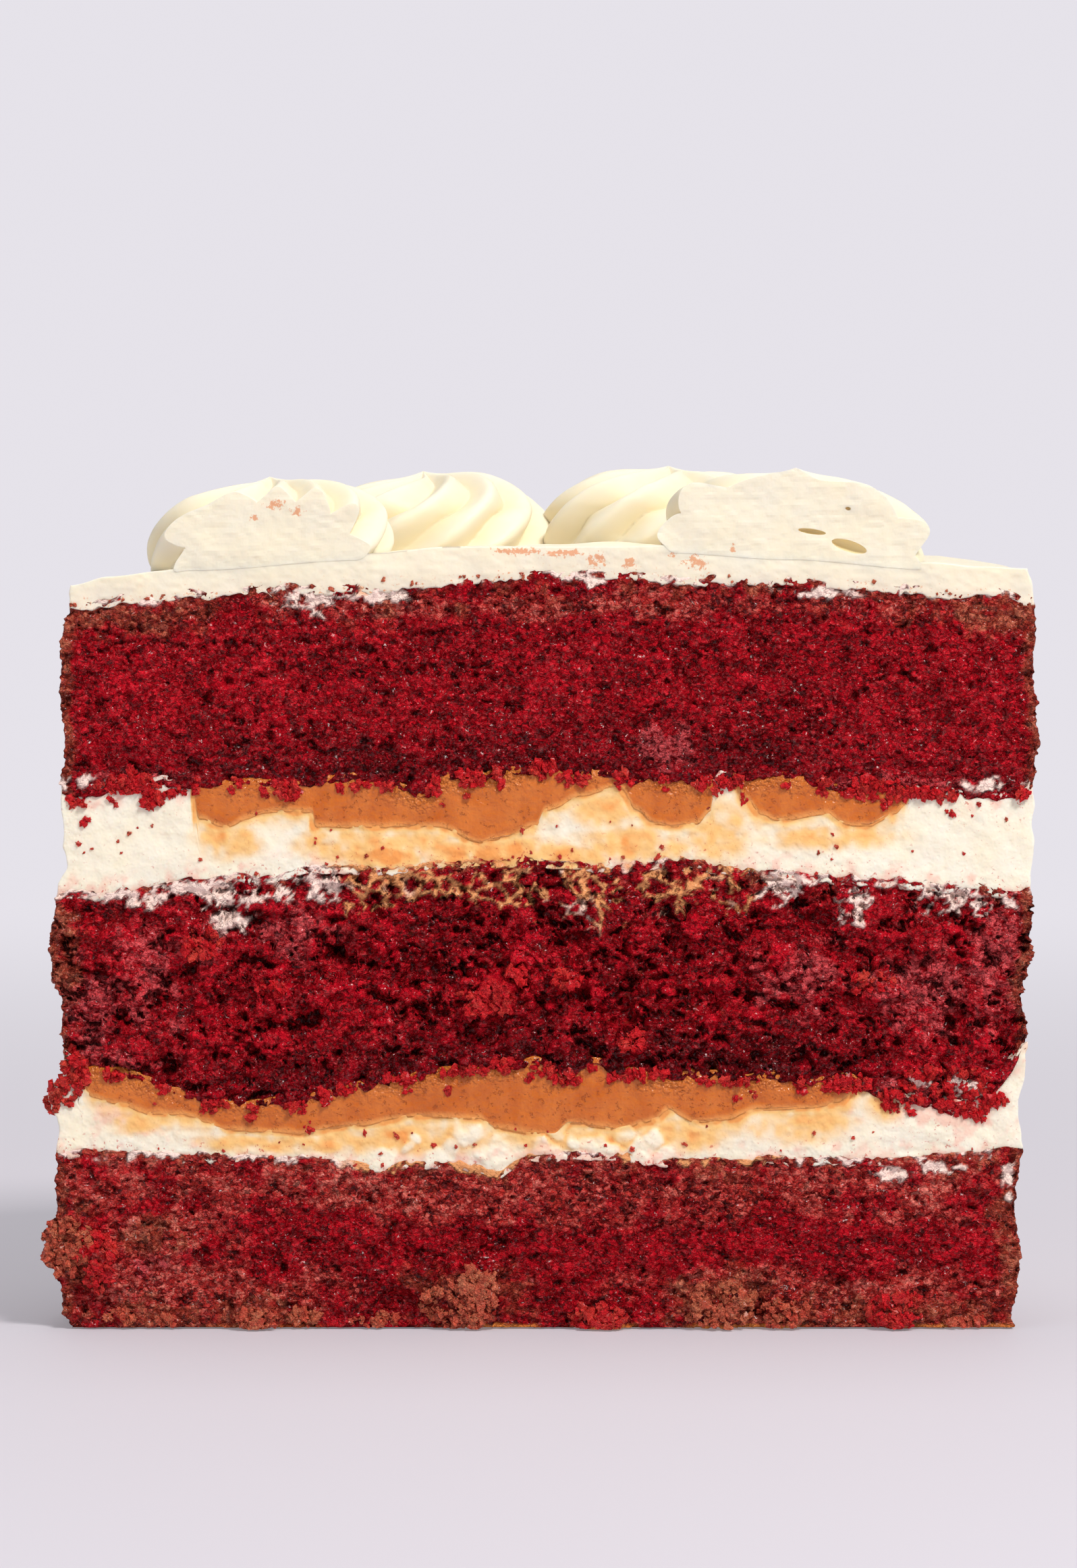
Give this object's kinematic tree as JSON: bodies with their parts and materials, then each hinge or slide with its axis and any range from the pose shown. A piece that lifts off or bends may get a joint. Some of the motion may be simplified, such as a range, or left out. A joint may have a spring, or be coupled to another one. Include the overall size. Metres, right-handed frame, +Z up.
{
  "type": "layer cake",
  "caption": "Half of a round red sponge layer cake, cut face showing: cream and caramel fillings, thin top frosting and piped cream rosettes.",
  "frame": {"origin": "on the surface it stands on, under the middle of its bounding box", "axes": "+X along the cut face to the viewer's right, +Y from the cut face to the round side, +Z up"},
  "size_m": [0.1656, 0.0835, 0.1419],
  "materials": {
    "sponge": "moist open crumb, matte with small wet glints",
    "cream": "soft satin cream, cut with a knife",
    "caramel": "smooth glossy milk caramel",
    "frosting": "soft satin whipped frosting"
  },
  "bodies": {
    "root": {"sponge_lower": "sponge", "cream_lower": "cream", "caramel_lower": "caramel", "sponge_middle": "sponge", "cream_upper": "cream", "caramel_upper": "caramel", "caramel_upper_side": "caramel", "sponge_top": "sponge", "frosting": "frosting", "rosette_left": "frosting", "rosette_right": "frosting", "rosette_back_left": "frosting", "rosette_back_right": "frosting"}
  },
  "joints": []
}
